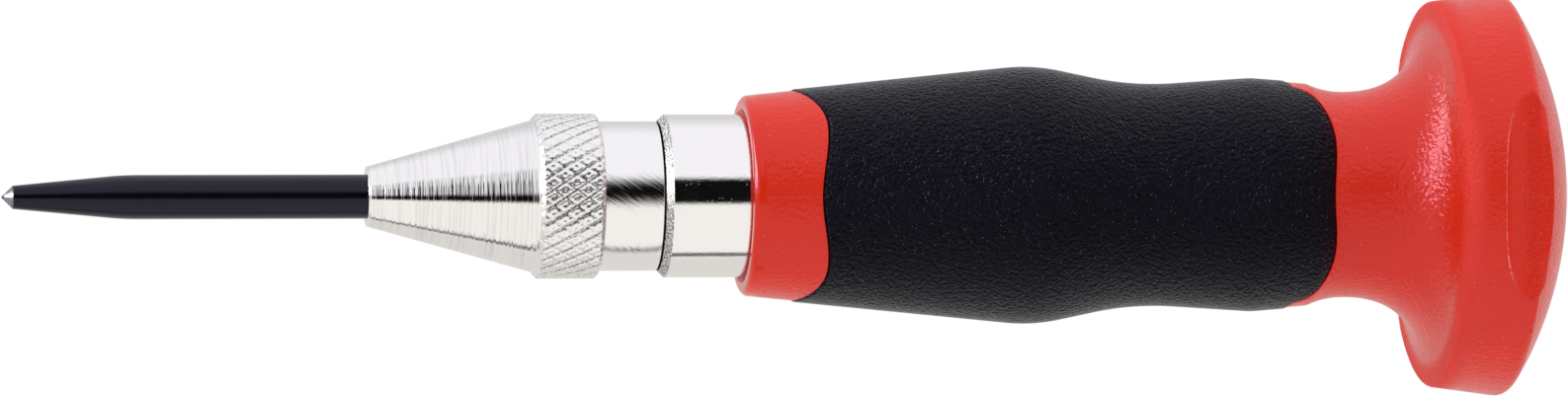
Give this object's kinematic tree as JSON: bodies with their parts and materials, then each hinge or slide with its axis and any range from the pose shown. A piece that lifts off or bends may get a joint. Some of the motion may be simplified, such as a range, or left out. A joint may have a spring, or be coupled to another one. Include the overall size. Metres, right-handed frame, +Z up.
{
  "type": "automatic center punch",
  "caption": "Automatic center punch: slim black steel point, knurled plated nose, red and black moulded handle with a domed mushroom head, spring-driven hammer inside.",
  "frame": {"origin": "the tip of the punch point, on the tool's axis", "axes": "+X along the tool's axis from the tip to the domed head; the two flats of the head face -Y and +Y; +Z up"},
  "size_m": [0.1434, 0.0364, 0.0372],
  "materials": {
    "black_steel": "black oxide, satin, with a bare ground tip",
    "turned_plating": "plated over fine turning marks, with a diamond knurl",
    "bright_plating": "bright plated",
    "seal_rubber": "matt",
    "bush_brass": "turned",
    "spring_steel": "drawn wire",
    "plain_steel": "turned and hardened",
    "red_plastic": "moulded, fine spark grain",
    "black_grip": "soft moulded, pebbled grain"
  },
  "bodies": {
    "handle": {"handle_core": "red_plastic", "grip_sleeve": "black_grip", "barrel": "bright_plating", "guide_bush": "bush_brass", "return_spring": "spring_steel", "main_spring": "spring_steel", "rear_spring_seat": "plain_steel", "preload_screw": "plain_steel", "lock_ring": "plain_steel"},
    "punch": {"punch_point": "black_steel", "drive_pin": "plain_steel"},
    "hammer": {"hammer": "plain_steel", "front_spring_seat": "plain_steel", "sear_spring": "spring_steel"},
    "sear": {"sear": "plain_steel"},
    "nose_seal": {"nose_o_ring": "seal_rubber"},
    "nose": {"nose_cone": "turned_plating"}
  },
  "joints": [
    {"name": "punch_slide", "type": "slide", "parent": "handle", "child": "punch", "axis": [1, 0, 0], "range_m": [0, 0.012], "stiffness_N_per_m": 2500, "springref_m": -0.004, "deforming": ["return_spring"]},
    {"name": "hammer_slide", "type": "slide", "parent": "handle", "child": "hammer", "axis": [1, 0, 0], "range_m": [0, 0.012], "deforming": ["main_spring"]},
    {"name": "sear_slide", "type": "slide", "parent": "hammer", "child": "sear", "axis": [0, 0, -1], "range_m": [0, 0.00075], "deforming": ["sear_spring"]},
    {"name": "nose_advance", "type": "slide", "parent": "handle", "child": "nose_seal", "axis": [-1, 0, 0], "range_m": [0, 0.006]},
    {"name": "nose_turn", "type": "hinge", "parent": "nose_seal", "child": "nose", "pos_m": [0.05, 0, 0], "axis": [-1, 0, 0], "range_deg": [0, 2160]}
  ],
  "couplings": [
    {"joint": "hammer_slide", "follows": "punch_slide", "ratio": 1},
    {"joint": "sear_slide", "follows": "punch_slide", "ratio": 0.0625},
    {"joint": "nose_turn", "follows": "nose_advance", "rad_per_m": 6283.2}
  ]
}
